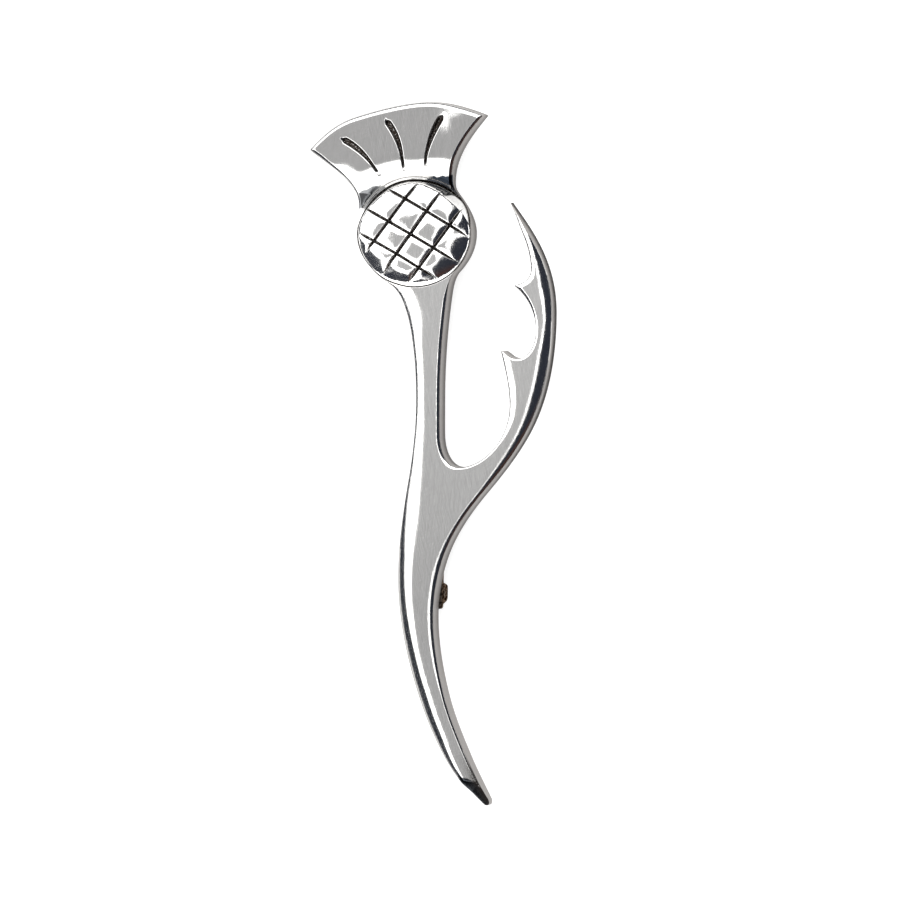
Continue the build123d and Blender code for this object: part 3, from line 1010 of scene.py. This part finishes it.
def mesh_piece(name, vertices, faces, material):
    """A smooth-shaded mesh object that rides with the pin, its vertices in metres."""
    mesh = bpy.data.meshes.new(name)
    mesh.from_pydata([tuple(v) for v in vertices], [], [tuple(int(i) for i in f) for f in faces])
    mesh.polygons.foreach_set("use_smooth", [True] * len(mesh.polygons))
    mesh.materials.append(material)
    piece = bpy.data.objects.new(name, mesh)
    bpy.context.scene.collection.objects.link(piece)
    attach(piece, "root")
    return piece


def linear(hex_colour):
    """A colour written as sRGB hex, as the linear values that a shader works in."""
    parts = [int(hex_colour[i:i + 2], 16) / 255 for i in (0, 2, 4)]
    return tuple(p / 12.92 if p <= 0.04045 else ((p + 0.055) / 1.055)**2.4 for p in parts) + (1.0,)


def add(tree, kind, settings=None):
    """Adds a shader node. Settings are its properties or, by name or number, its inputs. An input given as
    a socket, or as a node with one output in use, is linked to it."""
    node = tree.nodes.new("ShaderNode" + kind)
    for key, value in (settings or {}).items():
        if isinstance(value, bpy.types.Node):
            value = next(socket for socket in value.outputs if socket.enabled)
        if isinstance(value, bpy.types.NodeSocket):
            tree.links.new(value, node.inputs[key])
        elif isinstance(key, str) and hasattr(node, key):
            setattr(node, key, value)
        else:
            node.inputs[key].default_value = value
    return node


def new_material(name):
    material = bpy.data.materials.new(name)
    material.use_nodes = True
    material.node_tree.nodes.clear()
    return material, material.node_tree


def polished_pewter():
    """Cast pewter, polished by hand: bright and nearly colourless, with fine scratches that run mostly along
    it, duller towards its two ends, darker on its walls, partly as cast and partly as painted shade, with
    painted shade at the foot of the walls, and brown-black oxide in the grooves."""
    material, tree = new_material("polished pewter")
    spot = add(tree, "TexCoord").outputs["Object"]
    dark, wall, oxide = (add(tree, "Attribute", {"attribute_name": name}).outputs["Fac"]
                         for name in ("darkness", "wall", "oxide"))

    # Grains of bare metal, 0.14 mm, shine through the oxide of the grooves
    grain = add(tree, "TexNoise", {"Scale": 1 / (0.14 * MM), "Detail": 3.0, "Vector": spot})
    grain = add(tree, "Math", {"operation": "MULTIPLY_ADD", 0: grain, 1: 3.2, 2: -1.45})
    dense = add(tree, "Math", {"operation": "POWER", 0: dark, 1: 2.0})
    dark = add(tree, "Math", {"operation": "MULTIPLY_ADD", 0: grain, 1: dense, 2: dark})
    dark = add(tree, "Clamp", {0: dark})

    # Polishing scratches, drawn a little coarser than real ones so that the camera can see them
    scratches = []
    for angle, width, length in ((84, 0.07, 3.5), (105, 0.08, 3.0), (30, 0.07, 1.6)):
        drawn_out = add(tree, "Mapping", {"vector_type": "TEXTURE", "Rotation": (0, 0, math.radians(angle)),
                                          "Scale": (length * MM, width * MM, 0.3 * MM), "Vector": spot})
        scratches.append(add(tree, "TexNoise", {"Scale": 1.0, "Detail": 2.0, "Vector": drawn_out}))
    total = add(tree, "Math", {"operation": "ADD", 0: scratches[0], 1: scratches[1]})
    total = add(tree, "Math", {"operation": "MULTIPLY_ADD", 0: scratches[2], 1: 0.6, 2: total})
    bump = add(tree, "Bump", {"Strength": 0.35, "Distance": 0.01 * MM, "Height": total})

    # Tone: brightest between bulb and fork, darker towards the tail and the tuft, with soft clouds and the
    # scratches' shade
    along = add(tree, "SeparateXYZ", {0: spot}).outputs[1]
    to_tail = add(tree, "MapRange", {0: along, 1: 14 * MM, 2: -20 * MM, 3: 0.95, 4: 0.74})
    to_tuft = add(tree, "MapRange", {0: along, 1: 24 * MM, 2: 34 * MM, 3: 1.0, 4: 0.76})
    tone = add(tree, "Math", {"operation": "MULTIPLY", 0: to_tail, 1: to_tuft})
    cloudy = add(tree, "TexNoise", {"Scale": 1 / (2.2 * MM), "Detail": 5.0, "Vector": spot})
    shade = add(tree, "Math", {"operation": "MULTIPLY_ADD", 0: total, 1: 0.30, 2: 0.62})
    shade = add(tree, "Math", {"operation": "MULTIPLY_ADD", 0: cloudy, 1: -0.14, 2: shade})
    tone = add(tree, "Math", {"operation": "MULTIPLY", 0: tone, 1: shade})

    # The worked edges, where the face isn't level, keep a faint satin fleck from the file. It is drawn
    # coarser than it is, 0.17 mm, so that it shows. Walls and grooves are rougher still
    level = add(tree, "TexCoord").outputs["Normal"]
    level = add(tree, "SeparateXYZ", {0: level}).outputs[2]
    worked = add(tree, "MapRange", {0: level, 1: 0.97, 2: 0.91, 3: 0.0, 4: 0.06})
    flecks = add(tree, "TexNoise", {"Scale": 1 / (0.17 * MM), "Detail": 2.0, "Vector": spot})
    flecks = add(tree, "MapRange", {0: flecks, 1: 0.47, 2: 0.66})
    rough = add(tree, "Math", {"operation": "MULTIPLY_ADD", 0: cloudy, 1: 0.10, 2: 0.07})
    for finish, gain in ((flecks, worked), (wall, 0.28), (dark, 0.25)):
        rough = add(tree, "Math", {"operation": "MULTIPLY_ADD", 0: finish, 1: gain, 2: rough})

    # Bare metal, and over it the duller wall, partly as cast and partly painted shade, the blue-black oxide
    # and the brown-black of the grooves, which at the foot of the wall is painted shade
    colour = add(tree, "Mix", {"data_type": "RGBA", "blend_type": "MULTIPLY", 0: 1.0, 6: linear("FAF9F7"),
                               7: tone})
    # The wall's grey is partly painted shade, standing in for the shaded floor that the walls reflect
    for cover, finish in ((wall, "8F8B88"), (oxide, "1B222B"), (dark, "251F1B")):
        colour = add(tree, "Mix", {"data_type": "RGBA", 0: cover, 6: colour, 7: linear(finish)})
    surface = add(tree, "BsdfPrincipled", {"Metallic": 1.0, "Base Color": colour, "Roughness": rough,
                                           "Normal": bump})
    add(tree, "OutputMaterial", {"Surface": surface})
    return material


def aged_nickel_steel_with_painted_shade():
    """Nickel-plated steel: stamped and drawn, its plating dull and browned in patches with age, and its
    colour darkened further as painted shade.
    """
    material, tree = new_material("aged nickel steel, painted shade")
    spot = add(tree, "TexCoord").outputs["Object"]
    patches = add(tree, "TexNoise", {"Scale": 1 / (0.32 * MM), "Detail": 6.0, "Roughness": 0.7,
                                     "Vector": spot})
    patches = add(tree, "MapRange", {0: patches, 1: 0.36, 2: 0.54})
    # Dark brown patches: partly aged plating, partly painted shade
    colour = add(tree, "Mix", {"data_type": "RGBA", 0: patches, 6: linear("A3968B"), 7: linear("2E2621")})

    # Lines 0.05 mm apart and 1.5 mm long that the drawing and stamping left along the fitting
    fine, long = 1 / (0.05 * MM), 1 / (1.5 * MM)
    drawn = add(tree, "Mapping", {"Scale": (fine, long, fine), "Vector": spot})
    lines = add(tree, "TexNoise", {"Scale": 1.0, "Detail": 3.0, "Vector": drawn})
    bump = add(tree, "Bump", {"Strength": 0.3, "Distance": 0.01 * MM, "Height": lines})
    rough = add(tree, "Math", {"operation": "MULTIPLY_ADD", 0: patches, 1: 0.22, 2: 0.2})
    surface = add(tree, "BsdfPrincipled", {"Metallic": 1.0, "Specular Tint": linear("978E87"),
                                           "Base Color": colour, "Roughness": rough, "Normal": bump})
    add(tree, "OutputMaterial", {"Surface": surface})
    return material


def softened(corners):
    """A closed outline from corners, each with the length by which it is rounded."""
    points = []
    for index, (x, y, length) in enumerate(corners):
        here = np.array([x, y])
        if length == 0:
            points.append(here)
            continue
        before, after = np.array(corners[index - 1][:2]), np.array(corners[(index + 1) % len(corners)][:2])
        start = here + (before - here) * length / np.linalg.norm(before - here)
        end = here + (after - here) * length / np.linalg.norm(after - here)
        points += list(on_curve((start, here, end), np.linspace(0, 1, 6)))
    return points


def stamped(corners, low, high, edge):
    """A plate of that outline from low to high, with both its rims rounded off."""
    body = bmesh.new()
    floor, roof = ([body.verts.new((x, y, z)) for x, y in softened(corners)] for z in (low, high))
    caps = [body.faces.new(floor[::-1]), body.faces.new(roof)]
    for i in range(len(floor)):
        body.faces.new((floor[i - 1], floor[i], roof[i], roof[i - 1]))
    rims = [border for cap in caps for border in cap.edges]
    bmesh.ops.bevel(body, geom=rims, offset=edge, offset_type="OFFSET", segments=3, profile=0.5,
                    affect="EDGES", clamp_overlap=True)
    bmesh.ops.remove_doubles(body, verts=body.verts, dist=merge_below)
    return body


def turned(profile):
    """A round body along X from pairs of place along it and radius, the first and last on its axis."""
    body = bmesh.new()
    rings = []
    for along, radius in profile:
        turns = range(round_sides) if radius > 0 else range(1)
        rings.append([body.verts.new((along, radius * math.cos(2 * math.pi * i / round_sides),
                                      radius * math.sin(2 * math.pi * i / round_sides))) for i in turns])
    for here, after in zip(rings, rings[1:]):
        for i in range(round_sides):
            j = i + 1
            corners = [(here, i), (here, j), (after, j), (after, i)]
            corners = [ring[k % len(ring)] for ring, k in corners]
            corners = [c for k, c in enumerate(corners) if c is not corners[k - 1]]
            body.faces.new(corners).smooth = True
    return body


def rounded_end(end, radius, soft, way):
    """Pairs for a turned body's end: from its axis out and round to its side, or back when way is -1."""
    bend = np.linspace(0, math.pi / 2, 6)
    pairs = [(end + way * soft * (1 - math.cos(t)), radius - soft + soft * math.sin(t)) for t in bend]
    return ([(end, 0)] + pairs)[::way]


def fitting_bodies(span):
    """The fitting's parts as solids in mm, the joint at the origin and the catch up along Y."""
    axis = catch_wall + pin_play + pin_diameter / 2
    height = axis + pin_diameter / 2 + pin_lift + strip_thickness
    under = height - strip_thickness
    along_x = Matrix.Translation((0, 0, axis))
    along_y = along_x @ Matrix.Rotation(math.pi / 2, 4, "Z")
    upright = Matrix(((0, 0, 1, 0), (1, 0, 0, 0), (0, 1, 0, 0), (0, 0, 0, 1)))
    crosswise = Matrix(((1, 0, 0, 0), (0, 0, -1, 0), (0, 1, 0, 0), (0, 0, 0, 1)))

    half, wide, top, end = strip_width / 2, joint_width / 2, joint_length - joint_tab, span + catch_length
    right = [(wide, -joint_tab, strip_corner), (wide, top, strip_shoulder),
             (half, top + strip_waist, strip_shoulder), (half, end, strip_end)]
    left = [(-x, y, soft) for x, y, soft in right]
    yield stamped(left[:1] + right + left[:0:-1], under, height, plate_rim), Matrix()

    # Each ear runs some way up into the strip, as folded from it
    end, base, fold = ear_end / 2, ear_base / 2, under + ear_fold
    ear = [(-end, 0, ear_round), (end, 0, ear_round), (base, fold, 0.05), (-base, fold, 0.05)]
    for side in (joint_width / 2 - ear_thickness, -joint_width / 2):
        yield stamped(ear, side, side + ear_thickness, ear_rim), upright

    # The rivet's two heads stand on the ears, and its brim sinks a little into them
    reach = joint_width / 2 + rivet_head
    head = rivet_diameter / 2 + rivet_brim
    bend = np.linspace(0, math.pi / 2, 7)
    dome = [(reach - rivet_head * (1 - math.cos(t)), head * math.sin(t)) for t in bend]
    dome += [(joint_width / 2 - rivet_sink, head), (joint_width / 2 - rivet_sink, rivet_diameter / 2)]
    yield turned([(-x, r) for x, r in dome] + dome[::-1]), along_x

    # The barrel is the coiled end of the wire, with a line between its two turns
    coil, radius = joint_width / 2 - ear_thickness - barrel_play, barrel_diameter / 2
    slit = [(-0.1, radius), (-0.03, radius - barrel_slit), (0.03, radius - barrel_slit), (0.1, radius)]
    ends = rounded_end(-coil, radius, barrel_end, 1), rounded_end(coil, radius, barrel_end, -1)
    yield turned(ends[0] + slit + ends[1]), along_x

    length, thick, tip = span + pin_overhang, pin_diameter / 2, pin_tip / 2
    wire = rounded_end(0, thick, 0.1, 1) + [(y, thick) for y in np.linspace(2, length - pin_point - 2, 12)]
    for t in np.linspace(0, 1, 12):
        wire.append((length - pin_point * (1 - t), thick + (tip - thick) * t**pin_taper))
    yield turned(wire + [(length, 0)]), along_y

    out, inner, roof, lip = catch_width / 2, catch_width / 2 - catch_wall, height, catch_wall + catch_lip
    hook = [(out, roof, 0.15), (-out, roof, 0.15), (-out, under, 0.1), (inner, under, catch_corner),
            (inner, catch_wall, catch_corner), (-inner, catch_wall, 0.3), (-inner, lip, 0.1),
            (-out, lip, 0.1), (-out, 0, catch_round), (out, 0, catch_round)]
    place_catch = crosswise.copy()
    place_catch.translation = (0, span, 0)
    yield stamped(hook[::-1], -catch_length / 2, catch_length / 2, plate_rim), place_catch


def brooch_fitting(material):
    """The stamped strip, its joint and catch and the pin's wire, on the back of the casting."""
    joint, catch = place(*JOINT_SEAT), place(*CATCH_SEAT)
    span = math.dist(joint, catch)
    lean = math.atan2(joint[0] - catch[0], catch[1] - joint[1])
    shift = plan_shift()
    home = Matrix.Translation((shift.x, shift.y, 0)) @ Matrix.Diagonal((MM, MM, MM, 1))
    home = home @ Matrix.Translation((joint[0], joint[1], 0)) @ Matrix.Rotation(lean, 4, "Z")
    vertices, faces, smooth = [], [], []
    for body, seat in fitting_bodies(span):
        bmesh.ops.recalc_face_normals(body, faces=body.faces)
        body.verts.index_update()
        first = len(vertices)
        vertices += [home @ seat @ vertex.co for vertex in body.verts]
        faces += [[first + corner.index for corner in face.verts] for face in body.faces]
        smooth += [face.smooth for face in body.faces]
        body.free()
    piece = mesh_piece("brooch_fitting", vertices, faces, material)
    piece.data.polygons.foreach_set("use_smooth", smooth)
    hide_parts("pin_fitting")
    return piece


def thistle_casting(material):
    vertices, faces, finish = casting_mesh()
    shift = np.array(plan_shift())
    piece = mesh_piece("thistle", vertices * MM + shift, faces, material)
    for name, values in finish.items():
        attribute = piece.data.attributes.new(name, "FLOAT", "POINT")
        attribute.data.foreach_set("value", values.astype(np.float32))
    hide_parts("thistle_casting")
    return piece


# Studio: a camera at the photograph's angle, a tent of light and a pale floor. Lengths here are in metres
# but for the sensor's, and lights are linear. The panel's middle and half size are in directions of length
# 1 from the pin, as are the ways to the tent's open side and to the browner part of the room. The tent's
# hem fades over those angles from straight up
camera_side = 17.5
camera_up = 2.0
camera_distance = 1.2
frame_width = 0.1095
sensor_width = 36.0
look_at = Vector((0.00245, 0.00055, 0.0046))
floor_width = 5.0
panel_middle = (-0.15, -0.12)
panel_half = (0.31, 0.30)
OPEN_SIDE = (0.92, -0.39, 0.0)
BROWN_SIDE = (0.5, -0.866, 0.0)
HEM_ANGLES = (66, 70)
TENT_LIGHT = (3.0, 3.0, 3.0, 1)
PANEL_LIGHT = (0.55, 0.55, 0.555, 1)
ROOM_LIGHT = (0.026, 0.030, 0.042, 1)
BROWN_ROOM_LIGHT = (0.062, 0.033, 0.027, 1)
BACKDROP_LIGHT = (0.95, 0.95, 0.95, 1)


def studio_camera():
    side, up = math.radians(camera_side), math.radians(camera_up)
    right = Vector((math.cos(side), 0, -math.sin(side)))
    back = Vector((math.sin(side) * math.cos(up), math.sin(up), math.cos(side) * math.cos(up)))
    data = bpy.data.cameras.new("studio camera")
    data.sensor_width = sensor_width
    data.lens = sensor_width * camera_distance / frame_width
    data.clip_start = 0.01
    camera = bpy.data.objects.new("studio camera", data)
    turn = Matrix((right, back.cross(right), back)).transposed()
    camera.matrix_world = Matrix.Translation(look_at + back * camera_distance) @ turn.to_4x4()
    bpy.context.scene.collection.objects.link(camera)
    bpy.context.scene.camera = camera


def studio_light():
    """A tent of bright cloth with a grey panel overhead, dark towards the lower right and down low."""
    world = bpy.data.worlds.new("studio")
    world.use_nodes = True
    tree = world.node_tree
    tree.nodes.clear()
    way = add(tree, "TexCoord").outputs["Generated"]

    # The panel is a rectangle with round corners, seen from the pin
    panel = add(tree, "Mapping", {"vector_type": "TEXTURE", "Location": (*panel_middle, 0),
                                  "Scale": (*panel_half, 1.0), "Vector": way})
    panel = add(tree, "SeparateXYZ", {0: panel})
    across, along = (add(tree, "Math", {"operation": "POWER", 0: panel.outputs[axis], 1: 4.0})
                     for axis in (0, 1))
    panel = add(tree, "Math", {"operation": "ADD", 0: across, 1: along})
    cloth = add(tree, "MapRange", {"interpolation_type": "SMOOTHSTEP", 0: panel, 1: 0.85, 2: 1.15})
    tent = add(tree, "Mix", {"data_type": "RGBA", 0: cloth, 6: PANEL_LIGHT, 7: TENT_LIGHT})

    # The dark room shows past the tent's open side and under its hem, browner towards the lower right
    side = add(tree, "VectorMath", {"operation": "DOT_PRODUCT", 0: way, 1: OPEN_SIDE})
    side = add(tree, "MapRange", {"interpolation_type": "SMOOTHSTEP", 0: side, 1: 0.25, 2: 0.36})
    height = add(tree, "SeparateXYZ", {0: way}).outputs[2]
    hem = [math.cos(math.radians(angle)) for angle in HEM_ANGLES]
    low = add(tree, "MapRange", {"interpolation_type": "SMOOTHSTEP", 0: height, 1: hem[0], 2: hem[1]})
    outside = add(tree, "Math", {"operation": "MAXIMUM", 0: side, 1: low})
    browner = add(tree, "VectorMath", {"operation": "DOT_PRODUCT", 0: way, 1: BROWN_SIDE})
    browner = add(tree, "MapRange", {0: browner, 1: 0.74, 2: 0.88})
    room = add(tree, "Mix", {"data_type": "RGBA", 0: browner, 6: ROOM_LIGHT, 7: BROWN_ROOM_LIGHT})
    sky = add(tree, "Mix", {"data_type": "RGBA", 0: outside, 6: tent, 7: room})

    # The camera itself sees a plain pale backdrop
    seen = add(tree, "LightPath").outputs["Is Camera Ray"]
    shown = add(tree, "Mix", {"data_type": "RGBA", 0: seen, 6: sky, 7: BACKDROP_LIGHT})
    light = add(tree, "Background", {"Color": shown})
    add(tree, "OutputWorld", {"Surface": light})
    bpy.context.scene.world = world
    bpy.context.scene.view_settings.view_transform = "Standard"


def studio_floor():
    """A light table: matt white opal glass, lit from below, so that hardly a shadow shows."""
    material, tree = new_material("lit opal glass")
    spot = add(tree, "TexCoord").outputs["Object"]
    fibres = add(tree, "TexNoise", {"Scale": 1 / (0.8 * MM), "Detail": 4.0, "Vector": spot})
    colour = add(tree, "Mix", {"data_type": "RGBA", 0: fibres, 6: linear("AAAAAA"), 7: linear("AEAEAE")})
    surface = add(tree, "BsdfPrincipled", {"Roughness": 0.9, "Specular IOR Level": 0.1, "Base Color": colour,
                                           "Emission Color": (1, 1, 1, 1), "Emission Strength": 0.85})
    add(tree, "OutputMaterial", {"Surface": surface})
    half = floor_width / 2
    corners = [(x * half, y * half, 0) for x, y in ((-1, -1), (1, -1), (1, 1), (-1, 1))]
    mesh = bpy.data.meshes.new("floor")
    mesh.from_pydata(corners, [], [(0, 1, 2, 3)])
    mesh.materials.append(material)
    floor = bpy.data.objects.new("floor", mesh)
    bpy.context.scene.collection.objects.link(floor)


studio_camera()
studio_light()
studio_floor()
pewter = polished_pewter()
steel = aged_nickel_steel_with_painted_shade()
thistle_casting(pewter)
brooch_fitting(steel)
